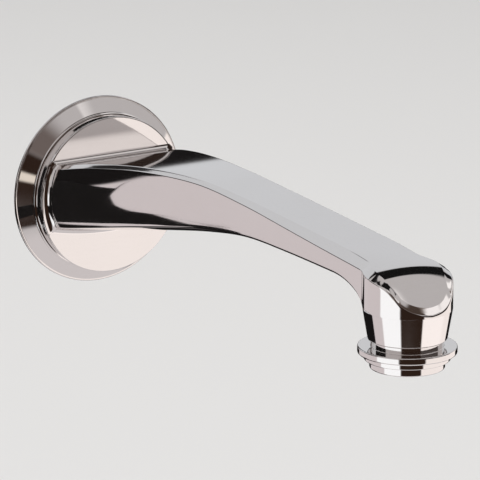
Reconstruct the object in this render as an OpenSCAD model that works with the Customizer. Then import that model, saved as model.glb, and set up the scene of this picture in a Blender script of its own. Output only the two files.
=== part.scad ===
// Wall spout with a round stepped wall flange and a screwed-in aerator.
// The wall is the plane Y = 0, the spout stands out towards -Y, and +Z is up.
// The origin is the centre of the inlet thread where it enters the wall.

/* [Wall flange] */
// Diameter of the flange's rim
flange_d = 70; // [66:1:84]
// Distance from the wall to the face that the base seats on
flange_depth = 6.5; // [6:0.1:9]
// Thickness of the flange's flat rim
flange_rim_t = 1.4; // [1:0.1:2]
// Width of the rim's rolled edge, measured inwards
flange_rim_roll = 0.8; // [0.5:0.1:1.5]
// Radius of the bead at the front of the flange
flange_bead_r = 0.6; // [0.4:0.1:1]
// Height of the wall gasket in its recess
gasket_t = 1.5; // [1.2:0.1:2]
// How far the flange's rim stands off the wall
rim_gap = 0.25; // [0.1:0.05:0.6]

/* [Base] */
// Diameter of the base disc
base_d = 58.5; // [54:0.5:62]
// Thickness of the base disc in front of the flange
base_t = 4.6; // [4:0.1:8]
// Width of the bead that edges the base disc
base_bead_w = 1; // [0.7:0.1:1.5]
// Depth of the turned line behind that bead
base_line_depth = 0.4; // [0.2:0.1:0.8]
// Diameter of the spigot that the flange slides on
spigot_d = 52; // [50:0.5:52.5]
// Length of the spigot behind the base disc
spigot_l = 4.3; // [4:0.1:5.2]
// Diameter of the hollow in the back of the base
back_hollow_d = 42; // [36:0.5:44]
// Depth of that hollow in front of the spigot
back_hollow_extra = 0.8; // [0.4:0.1:2]

/* [Arm] */
// Distance from the wall to the outlet's axis
reach = 209.5; // [180:0.5:250]
// How far the neck's ends stand in from the edge of the base disc
neck_inset = 2.6; // [2.4:0.1:6]
// Radius of the fillet between neck and base disc
neck_fillet = 2; // [1:0.1:2.2]
// Height of the neck's top above the inlet's axis
neck_top = 13.9; // [12:0.1:18]
// Depth of the neck's underside below the inlet's axis
neck_under = 9.6; // [9:0.1:12]
// Bulge of the neck's rounded ends
neck_crown = 2.4; // [1:0.1:3]
// Width of the arm at its waist
waist_w = 22.6; // [20:0.2:26]
// Width of the arm where it runs into the nose
shoulder_w = 25.2; // [22:0.2:27]
// Height of the arm's highest point above the inlet's axis
crest_z = 25; // [23:0.2:32]
// Height of the top where the nose begins
nose_top = 21.7; // [19:0.1:24]
// Height of the arm's underside before it bends down
under_z = 12.9; // [10:0.1:14]
// Sag of the underside between its two edges
belly = 2.8; // [1.5:0.1:3.2]
// Width of the flat bevel along the neck's top edges
bevel_root = 1.45; // [1:0.05:2]
// Width of the same bevel round the nose
bevel_nose = 2.7; // [2:0.1:3.2]

/* [Nose and outlet] */
// Diameter of the round nose
nose_d = 30.4; // [28.4:0.2:33]
// Diameter of the outlet's lower edge
outlet_d = 26.8; // [26.4:0.1:28]
// Depth of that edge below the inlet's axis
outlet_drop = 5.1; // [3:0.1:9]
// Height of the joint between nose and tapered collar
collar_z = 5.4; // [4:0.1:5.8]
// Radius of the bend under the arm, behind the collar
bend_r = 15; // [10:0.5:20]
// Height of the upper edge of the front facet's lower end
front_edge_z = 8.8; // [8:0.1:11]
// Steepness of the front facet in degrees
front_slope = 49; // [42:1:58]
// Size of the soft bend between top and front facet
brow_soft = 1.6; // [0.6:0.1:3]

/* [Waterway] */
// Diameter of the slip socket in the back of the base
socket_d = 15.2; // [14.4:0.1:15.6]
// Distance from the wall to the socket's floor
socket_floor = 27; // [26:0.5:32]
// Width of the waterway in the arm
duct_w = 15; // [10:0.5:16]
// Height of the waterway in the arm
duct_h = 6.4; // [5:0.2:7]
// Diameter of the chamber above the aerator
chamber_d = 20.4; // [18:0.2:21]

/* [Inlet] */
// Major diameter of the inlet thread
inlet_thread_d = 20.96; // [19:0.02:22]
// Length of the inlet thread behind the wall
inlet_thread_l = 12; // [9:0.5:18]
// Chamfer at the thread's free end
inlet_chamfer = 1; // [0.5:0.1:1.5]
// Diameter of the waterway through the nipple
nipple_bore_d = 9; // [8:0.2:9.6]
// Width across the flats of the nipple's hexagon
nipple_hex_af = 24; // [22.5:0.5:27]
// Thickness of the nipple's hexagon
nipple_hex_t = 4.4; // [3.5:0.1:4.8]
// Thickness of the fibre washer behind the hexagon
fibre_t = 1.5; // [1:0.1:1.8]
// Diameter of the grub screw
grub_d = 5; // [4:0.5:5]
// Distance from the wall to the grub screw's axis
grub_y = 16.4; // [16:0.1:17.2]
// Width across the flats of the grub screw's key socket
grub_af = 2.5; // [2:0.1:2.6]

/* [O-rings] */
// Thickness of the nipple's O-rings
nipple_ring_t = 2; // [1.8:0.1:2.2]
// Thickness of the O-ring that holds the flange
flange_ring_t = 1.8; // [1.6:0.1:2.2]
// Share of its thickness that each O-ring is squeezed
ring_squeeze = 0.18; // [0.1:0.01:0.25]

/* [Aerator] */
// Major diameter of the aerator thread
aerator_thread_d = 24; // [23:0.1:24.6]
// Length of the aerator thread
aerator_thread_l = 7.3; // [6:0.1:8]
// Diameter of the neck that shows below the collar
aerator_neck_d = 22.2; // [22:0.1:23]
// Height of that neck
aerator_neck_h = 2.4; // [1.5:0.1:4]
// Diameter of the aerator's wide rim
aerator_rim_d = 33.7; // [30:0.1:38]
// Height of the wide rim
aerator_rim_h = 2.5; // [2:0.1:4]
// Diameter of the middle step
aerator_step_d = 29.2; // [26.5:0.1:29.8]
// Height of the middle step
aerator_step_h = 2.2; // [1.5:0.1:3]
// Diameter of the lowest step
aerator_foot_d = 25.5; // [24:0.1:26.4]
// Height of the lowest step
aerator_foot_h = 2.9; // [2:0.1:4]
// Diameter of the aerator's outlet
aerator_mouth_d = 18.8; // [16:0.2:19.2]
// Diameter of the plastic insert
insert_d = 20.4; // [19.6:0.1:20.8]
// Wall of the plastic insert
insert_wall = 1; // [0.8:0.1:1.3]
// Pitch of the honeycomb's cells
cell_pitch = 2; // [1.7:0.1:3]
// Wall between the honeycomb's cells
cell_wall = 0.45; // [0.3:0.05:0.7]
// Thickness of the flat sealing washer
washer_t = 1; // [0.8:0.1:1.6]

/* [Clearances] */
// Radial clearance of a slip fit
slip_fit = 0.1; // [0.05:0.01:0.2]
// Radial clearance of a screw thread
thread_fit = 0.05; // [0.02:0.01:0.1]
// Axial clearance between stacked pieces
stack_gap = 0.1; // [0.05:0.05:0.3]

/* [Hidden] */
$fn = 64;

nickel = [0.78, 0.74, 0.71];
brass = [0.80, 0.62, 0.30];
rubber = [0.08, 0.08, 0.08];
fibre = [0.62, 0.20, 0.14];
plastic = [0.86, 0.87, 0.88];
steel = [0.60, 0.61, 0.62];

// Places along the arm, as distances from the wall
base_front = flange_depth + base_t;
arm_run = reach - base_front;
nose_r = nose_d / 2;
nipple_r = socket_d / 2 - slip_fit;

// One row for each place that shapes the arm: the share of the run, then the shares of the neck's
// extra width that is left, of the rise to the crest, of the fall to the nose and of the underside's rise
arm_curve = [
    [0.00, 1.00, 0.00, 0.00, 0.00],
    [0.10, 0.78, 0.41, 0.00, 0.19],
    [0.24, 0.39, 0.80, 0.00, 0.46],
    [0.40, 0.07, 1.00, 0.00, 0.74],
    [0.56, 0.00, 1.00, 0.14, 0.94],
    [0.70, 0.00, 1.00, 0.47, 0.99],
    [0.90, 0.00, 1.00, 1.00, 1.00],
    [1.00, 0.00, 1.00, 1.30, 1.00]
];

// A smooth value in column k of a table whose first column is the place
function row_at(table, u, i = 0) = i >= len(table) - 2 || u <= table[i + 1][0] ? i : row_at(table, u, i + 1);
function tangent(table, i, k) =
    let (a = max(i - 1, 0), b = min(i + 1, len(table) - 1))
    (table[b][k] - table[a][k]) / (table[b][0] - table[a][0]);
function smooth_at(table, k, u) =
    let (i = row_at(table, u), h = table[i + 1][0] - table[i][0], s = (u - table[i][0]) / h)
    table[i][k] * (2 * s ^ 3 - 3 * s ^ 2 + 1) + tangent(table, i, k) * h * (s ^ 3 - 2 * s ^ 2 + s)
    + table[i + 1][k] * (3 * s ^ 2 - 2 * s ^ 3) + tangent(table, i + 1, k) * h * (s ^ 3 - s ^ 2);
function ease(s) = let (c = min(max(s, 0), 1)) c * c * (3 - 2 * c);
function soft_min(a, b, soft) = (a + b - sqrt((a - b) ^ 2 + soft ^ 2)) / 2;
function soft_max(a, b, soft) = (a + b + sqrt((a - b) ^ 2 + soft ^ 2)) / 2;

// The arm's outline at distance t from the wall
function run_share(t) = (t - base_front) / arm_run;
function root_flare(t) =
    let (s = t - base_front)
    s >= neck_fillet ? 0 : neck_fillet - sqrt(neck_fillet ^ 2 - (neck_fillet - max(s, 0)) ^ 2);
function arm_half_w(t) =
    let (u = run_share(t), narrow = (waist_w + (shoulder_w - waist_w) * ease((u - 0.45) / 0.55)) / 2)
    narrow + (base_d / 2 - neck_inset - narrow) * smooth_at(arm_curve, 1, u);
function nose_half_w(t) = abs(t - reach) >= nose_r ? 0 : sqrt(nose_r ^ 2 - (t - reach) ^ 2);
function half_w(t) = t >= reach ? nose_half_w(t) : soft_max(arm_half_w(t), nose_half_w(t), 0.6);
function crown(t) = neck_crown * smooth_at(arm_curve, 1, run_share(t));
function bevel(t) = bevel_root + (bevel_nose - bevel_root) * ease((run_share(t) - 0.4) / 0.55);
function arm_top(t) =
    let (u = run_share(t))
    neck_top + (crest_z - neck_top) * smooth_at(arm_curve, 2, u)
    - (crest_z - nose_top) * smooth_at(arm_curve, 3, u);
function front_top(t) = front_edge_z + (reach + nose_r - bevel_nose - t) * tan(front_slope);
function top_z(t) = soft_min(arm_top(t), front_top(t), brow_soft);
function arm_under(t) = -neck_under + (under_z + neck_under) * smooth_at(arm_curve, 4, run_share(t));

// Height of the skin over and under a point at x across and t out
function over(x, t) =
    let (c = bevel(t), rho = norm([x, t - reach]), inset = t > reach ? nose_r - rho : half_w(t) - crown(t) - abs(x),
         t_top = t > reach && inset < c ? reach + (t - reach) * (nose_r - c) / rho : t)
    top_z(t_top) + root_flare(t) - max(c - inset, 0);
function under(x, t) =
    let (edge = half_w(t) - crown(t), u = run_share(t), sag = belly * (1 - 0.35 * ease((u - 0.3) / 0.5)),
         plain = arm_under(t) - root_flare(t) - sag * (1 - (x / max(edge, 1)) ^ 2),
         s = min(max((nose_r + bend_r - norm([x, t - reach])) / bend_r, 0), 1))
    t >= reach ? collar_z : plain - (plain - collar_z) * (1 - sqrt(1 - s * s));

// One section of the arm, as a ring of points round the skin
top_steps = 2;
bevel_steps = 2;
side_steps = 4;
under_steps = 5;
function side_point(t, s) =
    let (edge = half_w(t) - crown(t), hi = over(edge, t), lo = under(edge, t))
    [half_w(t) + root_flare(t) - crown(t) * (2 * s - 1) ^ 2, hi + (lo - hi) * s];
function half_ring(t) =
    let (edge = half_w(t) - crown(t), flare = root_flare(t),
         flat = t <= reach ? edge - bevel(t)
              : max(sqrt(max((nose_r - bevel_nose) ^ 2 - (t - reach) ^ 2, 0)), edge * 0.4))
    concat([for (i = [1:top_steps]) let (x = flat * i / top_steps)
                [x + flare * i / top_steps, over(x, t)]],
           [for (i = [1:bevel_steps]) let (x = flat + (edge - flat) * i / bevel_steps)
                [x + flare, over(x, t)]],
           [for (i = [1:side_steps]) side_point(t, i / side_steps)],
           [for (i = [1:under_steps - 1]) let (x = edge * (1 - i / under_steps))
                [x + flare * x / edge, under(x, t)]]);
function ring(t) =
    let (half = half_ring(t), n = len(half))
    concat([[0, -t, over(0, t)]], [for (p = half) [p[0], -t, p[1]]], [[0, -t, under(0, t)]],
           [for (i = [n - 1:-1:0]) [-half[i][0], -t, half[i][1]]]);

// Distances from the wall at which the arm is sectioned
ring_step = 5.5;
bend_step = 1.7;
fillet_steps = 4;
nose_angle_step = 6;
arm_from = base_front + neck_fillet;
bend_from = reach - nose_r - bend_r;
arm_rings = ceil((bend_from - arm_from) / ring_step);
bend_rings = ceil((reach - bend_from) / bend_step);
stations = concat(
    [base_front - 2],
    [for (i = [0:fillet_steps - 1]) base_front + neck_fillet * (1 - cos(90 * (i + 0.35) / fillet_steps))],
    [for (i = [0:arm_rings - 1]) arm_from + (bend_from - arm_from) * i / arm_rings],
    [for (i = [0:bend_rings - 1]) bend_from + (reach - bend_from) * i / bend_rings],
    [for (a = [0:nose_angle_step:84]) reach + nose_r * sin(a)],
    [reach + nose_r - 0.02]
);

// A closed skin over a list of rings with the same number of points, its two ends fanned from a middle point
module loft(rings) {
    n = len(rings[0]);
    last = len(rings) - 1;
    first_mid = (last + 1) * n;
    polyhedron(
        points = concat([for (r = rings) for (p = r) p], [middle(rings[0]), middle(rings[last])]),
        faces = concat(
            [for (j = [0:n - 1]) [first_mid, (j + 1) % n, j]],
            [for (i = [0:last - 1]) for (j = [0:n - 1]) [i * n + j, i * n + (j + 1) % n, (i + 1) * n + j]],
            [for (i = [0:last - 1]) for (j = [0:n - 1])
                [i * n + (j + 1) % n, (i + 1) * n + (j + 1) % n, (i + 1) * n + j]],
            [for (j = [0:n - 1]) [first_mid + 1, last * n + j, last * n + (j + 1) % n]]
        ),
        convexity = 6
    );
}
function middle(points) = [for (k = [0:2]) (min([for (p = points) p[k]]) + max([for (p = points) p[k]])) / 2];

// A revolve whose axis leaves the wall towards -Y, its profile as [radius, distance from the wall]
module from_wall(profile) {
    rotate([90, 0, 0]) rotate_extrude() polygon(profile);
}

// A revolve about the outlet's vertical axis, its profile as [radius, height]
module at_outlet(profile) {
    translate([0, -reach, 0]) rotate_extrude() polygon(profile);
}

// A squeezed O-ring between an inner and an outer wall, at height z on its axis
module o_ring(inner_r, outer_r, thickness, z) {
    mid = (inner_r + outer_r) / 2;
    translate([0, 0, z]) rotate_extrude() intersection() {
        translate([mid, 0]) circle(d = thickness * (1 + ring_squeeze / 2), $fn = 24);
        translate([mid - (outer_r - inner_r) / 2, -thickness]) square([outer_r - inner_r, 2 * thickness]);
    }
}

// Flange and spigot: what fits round what
flange_bore_r = spigot_d / 2 + slip_fit;
flange_ring_groove = spigot_d / 2 + slip_fit - flange_ring_t * (1 - ring_squeeze);
flange_ring_y = flange_depth - spigot_l / 2;
flange_ring_w = flange_ring_t * 1.25;
flange_front_r = base_d / 2;
flange_shelf_r = flange_front_r + 0.45;
recess_in_r = flange_bore_r + 1;
recess_out_r = flange_d / 2 - 2;
recess_top = gasket_t - rim_gap;

module wall_flange() {
    color(nickel) difference() {
        union() {
            from_wall([
                [flange_bore_r, rim_gap], [flange_d / 2 - 0.4, rim_gap], [flange_d / 2, rim_gap + 0.4],
                [flange_d / 2, flange_rim_t - 0.45], [flange_d / 2 - 0.25, flange_rim_t - 0.12],
                [flange_d / 2 - flange_rim_roll, flange_rim_t],
                [flange_shelf_r, flange_depth - 1.4], [flange_front_r, flange_depth - 1.3],
                [flange_front_r, flange_depth], [flange_bore_r, flange_depth]
            ]);
            rotate([90, 0, 0]) rotate_extrude()
                translate([flange_front_r, flange_depth - flange_bead_r - 0.1]) circle(r = flange_bead_r, $fn = 20);
        }
        from_wall([
            [recess_in_r, rim_gap - 1], [recess_out_r, rim_gap - 1],
            [recess_out_r, rim_gap + recess_top], [recess_in_r, rim_gap + recess_top]
        ]);
    }
}

module wall_gasket() {
    color(rubber) from_wall([
        [recess_in_r + slip_fit, 0], [recess_out_r - slip_fit, 0],
        [recess_out_r - slip_fit, gasket_t], [recess_in_r + slip_fit, gasket_t]
    ]);
}

module flange_o_ring() {
    color(rubber) rotate([90, 0, 0])
        o_ring(flange_ring_groove, flange_bore_r, flange_ring_t, flange_ring_y);
}

// Waterway: one row for each place on its centre line, as distance from the wall, height,
// half width and half height
collar_bottom = -outlet_drop;
thread_bore_r = aerator_thread_d / 2 + thread_fit;
thread_top = collar_bottom + aerator_thread_l + washer_t;
duct_mid = (under_z - belly * 0.65 + nose_top) / 2;
duct = [
    [0.00, socket_floor - 1, 0, nipple_bore_d / 2, nipple_bore_d / 2],
    [0.10, socket_floor + 8, 2.4, nipple_bore_d / 2 + 0.6, nipple_bore_d / 2],
    [0.30, base_front + arm_run * 0.24, 9.2, duct_w / 2, duct_h * 0.62],
    [0.48, base_front + arm_run * 0.48, 15.2, duct_w / 2, duct_h / 2],
    [0.66, base_front + arm_run * 0.70, duct_mid, duct_w / 2, duct_h / 2],
    [0.80, reach - 22, duct_mid - 0.6, duct_w / 2, duct_h / 2],
    [0.89, reach - 8, duct_mid - 2.2, duct_w / 2, duct_h / 2 + 0.4],
    [0.95, reach - 1.8, collar_z + 3, duct_w / 2, duct_w / 2 - 1.5],
    [1.00, reach, thread_top - 0.5, duct_w / 2, duct_w / 2]
];
duct_rings = 34;
duct_sides = 16;
function duct_place(u) = [smooth_at(duct, 1, u), smooth_at(duct, 2, u)];
function duct_ring(u) =
    let (here = duct_place(u), ahead = duct_place(u + 0.005) - duct_place(u - 0.005),
         heading = atan2(ahead[1], ahead[0]), a = smooth_at(duct, 3, u), b = smooth_at(duct, 4, u))
    [for (i = [0:duct_sides - 1])
        let (phi = 360 * i / duct_sides, side = a * sin(phi), lift = b * cos(phi))
        [side, -(here[0] - lift * sin(heading)), here[1] + lift * cos(heading)]];

grub_tip_z = -nipple_r + 1;
grub_hole_r = grub_d / 2 + thread_fit;

module spout_body() {
    line_at = base_front - base_bead_w - 0.5;
    base_r = base_d / 2;
    color(nickel) difference() {
        union() {
            from_wall([
                [0, flange_depth - spigot_l], [spigot_d / 2 - 0.3, flange_depth - spigot_l],
                [spigot_d / 2, flange_depth - spigot_l + 0.3], [spigot_d / 2, flange_depth],
                [base_r - 0.3, flange_depth], [base_r - 0.3, line_at],
                [base_r - 0.3 - base_line_depth, line_at + 0.2],
                [base_r - 0.3 - base_line_depth, line_at + 0.5],
                [base_r, line_at + 0.55], [base_r, base_front - 0.35], [base_r - 0.12, base_front - 0.12],
                [base_r - 0.35, base_front], [0, base_front]
            ]);
            loft([for (t = stations) ring(t)]);
            at_outlet([[0, collar_bottom], [outlet_d / 2 - 0.3, collar_bottom],
                       [outlet_d / 2, collar_bottom + 0.3],
                       [nose_r - 0.05, collar_z + 0.3], [0, collar_z + 3]]);
        }
        // Hollow back, slip socket and O-ring groove
        from_wall([[0, -1], [back_hollow_d / 2, -1], [back_hollow_d / 2, flange_depth + back_hollow_extra],
                   [0, flange_depth + back_hollow_extra]]);
        from_wall([[0, 0], [socket_d / 2, 0], [socket_d / 2, socket_floor], [0, socket_floor]]);
        from_wall([[flange_ring_groove, flange_ring_y - flange_ring_w / 2],
                   [spigot_d / 2 + 1, flange_ring_y - flange_ring_w / 2],
                   [spigot_d / 2 + 1, flange_ring_y + flange_ring_w / 2],
                   [flange_ring_groove, flange_ring_y + flange_ring_w / 2]]);
        // Waterway, tapped outlet and the grub screw's tapped hole
        loft([for (i = [0:duct_rings]) duct_ring(i / duct_rings)]);
        at_outlet([[0, collar_bottom - 1], [thread_bore_r, collar_bottom - 1], [thread_bore_r, thread_top],
                   [chamber_d / 2, thread_top], [chamber_d / 2, thread_top + 1.6], [0, thread_top + 1.6]]);
        translate([0, -grub_y, -neck_under - belly - 6]) cylinder(r = grub_hole_r, h = neck_under + belly + 6);
    }
}

// Nipple: the spigot that the spout slips on, from its thread to its front end
nipple_front = socket_floor - 0.8;
nipple_groove_r = socket_d / 2 - nipple_ring_t * (1 - ring_squeeze);
nipple_groove_w = nipple_ring_t * 1.25;
nipple_ring_front_y = nipple_front - 1 - nipple_groove_w / 2;
nipple_ring_rear_y = nipple_ring_front_y - nipple_groove_w - 0.8;
thread_relief_r = inlet_thread_d / 2 - 1;
hex_r = nipple_hex_af / 2 / cos(30);
hex_front = fibre_t + nipple_hex_t;
lock_groove_r = -grub_tip_z - 0.2;

module inlet_nipple() {
    half_lock = grub_d / 2 - 0.3;
    color(brass) difference() {
        union() {
            from_wall([
                [0, -inlet_thread_l - inlet_chamfer],
                [inlet_thread_d / 2 - inlet_chamfer, -inlet_thread_l - inlet_chamfer],
                [inlet_thread_d / 2, -inlet_thread_l], [inlet_thread_d / 2, 0], [thread_relief_r, 0],
                [thread_relief_r, fibre_t], [0, fibre_t]
            ]);
            from_wall([
                [0, fibre_t], [nipple_r, fibre_t], [nipple_r, grub_y - half_lock - 0.6],
                [lock_groove_r, grub_y - half_lock], [lock_groove_r, grub_y + half_lock],
                [nipple_r, grub_y + half_lock + 0.6], [nipple_r, nipple_front - 0.5],
                [nipple_r - 0.5, nipple_front], [0, nipple_front]
            ]);
            rotate([90, 0, 0]) translate([0, 0, fibre_t]) intersection() {
                linear_extrude(nipple_hex_t) circle(r = hex_r, $fn = 6);
                rotate_extrude() polygon([[0, 0], [hex_r - 0.6, 0], [hex_r, 0.6], [hex_r, nipple_hex_t - 0.6],
                                          [hex_r - 0.6, nipple_hex_t], [0, nipple_hex_t]]);
            }
        }
        from_wall([[0, -inlet_thread_l - 5], [nipple_bore_d / 2, -inlet_thread_l - 5],
                   [nipple_bore_d / 2, nipple_front + 1], [0, nipple_front + 1]]);
        for (y = [nipple_ring_rear_y, nipple_ring_front_y])
            from_wall([[nipple_groove_r, y - nipple_groove_w / 2], [nipple_r + 1, y - nipple_groove_w / 2],
                       [nipple_r + 1, y + nipple_groove_w / 2], [nipple_groove_r, y + nipple_groove_w / 2]]);
    }
}

module fibre_washer() {
    color(fibre) from_wall([[thread_relief_r + slip_fit, 0], [nipple_hex_af / 2 + 0.6, 0],
                            [nipple_hex_af / 2 + 0.6, fibre_t], [thread_relief_r + slip_fit, fibre_t]]);
}

module nipple_o_ring(y) {
    color(rubber) rotate([90, 0, 0]) o_ring(nipple_groove_r, socket_d / 2, nipple_ring_t, y);
}

module nipple_o_ring_rear() {
    nipple_o_ring(nipple_ring_rear_y);
}

module nipple_o_ring_front() {
    nipple_o_ring(nipple_ring_front_y);
}

module grub_screw() {
    length = 4.4;
    color(steel) translate([0, -grub_y, grub_tip_z - length]) difference() {
        rotate_extrude() polygon([[0, 0], [grub_d / 2 - 0.4, 0], [grub_d / 2, 0.4], [grub_d / 2, length - 0.7],
                                  [grub_d / 2 - 0.7, length], [0, length]]);
        translate([0, 0, -1]) cylinder(r = grub_af / 2 / cos(30), h = 3.2, $fn = 6);
    }
}

// Aerator: heights of its steps, from the collar's lower edge down
rim_top = collar_bottom - aerator_neck_h;
step_top = rim_top - aerator_rim_h;
foot_top = step_top - aerator_step_h;
foot_bottom = foot_top - aerator_foot_h;
thread_r = aerator_thread_d / 2;
housing_top = collar_bottom + aerator_thread_l;
insert_r = insert_d / 2;
seat_r = insert_r + 0.6;
seat_z = housing_top - 2;
mouth_lip = 1.4;
insert_bottom = foot_bottom + mouth_lip;
insert_in_r = insert_r - insert_wall;

module aerator_housing() {
    rim_r = aerator_rim_d / 2;
    color(nickel) difference() {
        at_outlet([
            [0, foot_bottom], [aerator_foot_d / 2 - 0.4, foot_bottom], [aerator_foot_d / 2, foot_bottom + 0.4],
            [aerator_foot_d / 2, foot_top], [aerator_step_d / 2 - 0.3, foot_top],
            [aerator_step_d / 2, foot_top + 0.3], [aerator_step_d / 2, step_top],
            [rim_r - 0.6, step_top], [rim_r - 0.15, step_top + 0.2], [rim_r, step_top + 0.6],
            [rim_r, rim_top - 1.1], [rim_r - 0.1, rim_top - 0.4], [rim_r - 0.3, rim_top],
            [aerator_neck_d / 2, rim_top], [aerator_neck_d / 2, collar_bottom], [thread_r, collar_bottom + 0.4],
            [thread_r, housing_top - 0.5], [thread_r - 0.4, housing_top], [0, housing_top]
        ]);
        at_outlet([
            [0, foot_bottom - 1], [aerator_mouth_d / 2, foot_bottom - 1],
            [aerator_mouth_d / 2, insert_bottom], [insert_r + slip_fit, insert_bottom],
            [insert_r + slip_fit, seat_z], [seat_r, seat_z], [seat_r, housing_top + 1], [0, housing_top + 1]
        ]);
    }
}

module aerator_washer() {
    color(rubber) at_outlet([[insert_r - 1.7, housing_top], [thread_r, housing_top],
                             [thread_r, housing_top + washer_t], [insert_r - 1.7, housing_top + washer_t]]);
}

// Insert: what stands on what, from its floor up
floor_t = 0.8;
straightener_h = 3;
mesh_t = 0.4;
mesh_lower_z = insert_bottom + floor_t + straightener_h;
mesh_upper_z = mesh_lower_z + mesh_t;
plate_z = seat_z - 1;
plate_t = 1.4;
plate_r = insert_in_r - slip_fit;

module aerator_insert() {
    slots = 8;
    flange_top = housing_top - stack_gap;
    color(plastic) difference() {
        at_outlet([
            [insert_in_r - 0.9, insert_bottom], [insert_r, insert_bottom], [insert_r, seat_z],
            [seat_r - slip_fit, seat_z], [seat_r - slip_fit, flange_top], [insert_in_r, flange_top],
            [insert_in_r, plate_z], [insert_in_r - 0.7, plate_z], [insert_in_r - 0.7, plate_z - 0.8],
            [insert_in_r, plate_z - 1.4], [insert_in_r, insert_bottom + floor_t],
            [insert_in_r - 0.9, insert_bottom + floor_t]
        ]);
        for (i = [0:slots - 1])
            translate([0, -reach, plate_z - 3.6]) rotate([0, 0, 360 * i / slots])
                translate([insert_in_r - 0.5, -1.2, 0]) cube([insert_wall + 1, 2.4, 1.8]);
    }
}

module jet_plate() {
    jets = 20;
    jet_circle_r = plate_r - 2.6;
    color(plastic) translate([0, -reach, plate_z]) difference() {
        cylinder(r = plate_r, h = plate_t);
        for (i = [0:jets - 1])
            rotate([0, 0, 360 * i / jets]) translate([jet_circle_r, 0, -1]) cylinder(d = 1.1, h = plate_t + 2, $fn = 16);
        translate([0, 0, plate_t - 0.5]) rotate_extrude()
            translate([jet_circle_r - 2.6, 0]) square([1.6, 1]);
    }
}

module flow_ring() {
    ring_r = plate_r - 4.4;
    color(rubber) at_outlet([for (a = [0:22.5:337.5])
        [ring_r + 0.7 * cos(a), plate_z + plate_t - 0.5 + 0.7 * (1 + sin(a))]]);
}

// The dome is a bowed shell on a flat foot ring, with rings of holes
module filter_dome() {
    dome_h = 2.2;
    dome_t = 0.5;
    foot_w = 1;
    foot_z = plate_z + plate_t;
    span_r = plate_r - foot_w;
    cap_r = (span_r ^ 2 + dome_h ^ 2) / (2 * dome_h);
    color(steel) translate([0, -reach, foot_z]) difference() {
        rotate_extrude() intersection() {
            union() {
                difference() {
                    translate([0, dome_h - cap_r]) circle(r = cap_r, $fn = 180);
                    translate([0, dome_h - cap_r]) circle(r = cap_r - dome_t, $fn = 180);
                }
                translate([span_r - 0.6, 0]) square([foot_w + 0.6, dome_t]);
            }
            square([plate_r, dome_h + 1]);
        }
        for (ringlet = [1:3]) for (i = [0:6 * ringlet - 1])
            rotate([0, 0, 60 * i / ringlet]) translate([ringlet * 2.1, 0, -1])
                cylinder(d = 0.9, h = dome_h + 3, $fn = 16);
    }
}

// A round mesh disc with a square grid of openings
module mesh_disc(z, turn) {
    pitch = 1.7;
    opening = 1.15;
    reach_n = floor((plate_r - 1) / pitch);
    color(steel) translate([0, -reach, z]) rotate([0, 0, turn]) linear_extrude(mesh_t) difference() {
        circle(r = plate_r);
        for (i = [-reach_n:reach_n]) for (j = [-reach_n:reach_n])
            if (norm([i, j]) * pitch < plate_r - 1.1)
                translate([i * pitch - opening / 2, j * pitch - opening / 2]) square(opening);
    }
}

module mesh_screen_upper() {
    mesh_disc(mesh_upper_z, 45);
}

module mesh_screen_lower() {
    mesh_disc(mesh_lower_z, 0);
}

module stream_straightener() {
    cell_r = (cell_pitch - cell_wall) / sqrt(3);
    span = ceil(plate_r / cell_pitch) + 1;
    color(plastic) translate([0, -reach, insert_bottom + floor_t]) linear_extrude(straightener_h) difference() {
        circle(r = plate_r);
        for (i = [-span:span]) for (j = [-span:span]) {
            x = cell_pitch * (i + j / 2);
            y = cell_pitch * j * sqrt(3) / 2;
            if (norm([x, y]) < plate_r - cell_r - 0.5)
                translate([x, y]) rotate(30) circle(r = cell_r, $fn = 6);
        }
    }
}

spout_body();
wall_flange();
wall_gasket();
flange_o_ring();
inlet_nipple();
fibre_washer();
nipple_o_ring_rear();
nipple_o_ring_front();
grub_screw();
aerator_housing();
aerator_washer();
filter_dome();
flow_ring();
jet_plate();
aerator_insert();
mesh_screen_upper();
mesh_screen_lower();
stream_straightener();
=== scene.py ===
import enum
import logging
import math
from dataclasses import dataclass, field
from typing import Callable, Iterable, Optional, Sequence

import bmesh
import bpy
from mathutils import Matrix, Vector


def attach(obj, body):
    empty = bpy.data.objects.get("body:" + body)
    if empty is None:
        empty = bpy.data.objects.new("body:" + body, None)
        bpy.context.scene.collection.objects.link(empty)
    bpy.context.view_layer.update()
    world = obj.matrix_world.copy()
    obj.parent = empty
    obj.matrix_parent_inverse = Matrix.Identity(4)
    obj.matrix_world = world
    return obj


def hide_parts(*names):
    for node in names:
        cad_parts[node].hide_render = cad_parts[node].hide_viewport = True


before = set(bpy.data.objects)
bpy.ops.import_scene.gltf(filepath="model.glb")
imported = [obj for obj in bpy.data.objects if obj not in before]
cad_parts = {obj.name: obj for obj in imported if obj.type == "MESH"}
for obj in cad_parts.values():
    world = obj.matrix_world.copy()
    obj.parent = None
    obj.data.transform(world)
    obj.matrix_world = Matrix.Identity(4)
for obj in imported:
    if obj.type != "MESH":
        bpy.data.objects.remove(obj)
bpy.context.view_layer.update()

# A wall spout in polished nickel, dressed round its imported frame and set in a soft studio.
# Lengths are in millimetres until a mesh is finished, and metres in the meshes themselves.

LOG = logging.getLogger("wall_spout")
MM = 0.001
WELD = 2e-7
FULL_TURN = 2 * math.pi

Point = tuple[float, float, float]
Pair = tuple[float, float]


class Slot(enum.Enum):
    """Material slots of the record."""

    NICKEL = "nickel_plate"
    BRASS = "turned_brass"
    RUBBER = "black_rubber"
    FIBRE = "red_fibre"
    ACETAL = "white_acetal"
    STEEL = "stainless_steel"


class Axis(enum.Enum):
    """Axis that a turned piece is spun about."""

    WALL = "out of the wall"
    OUTLET = "down through the outlet"


# Node sheets


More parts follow.
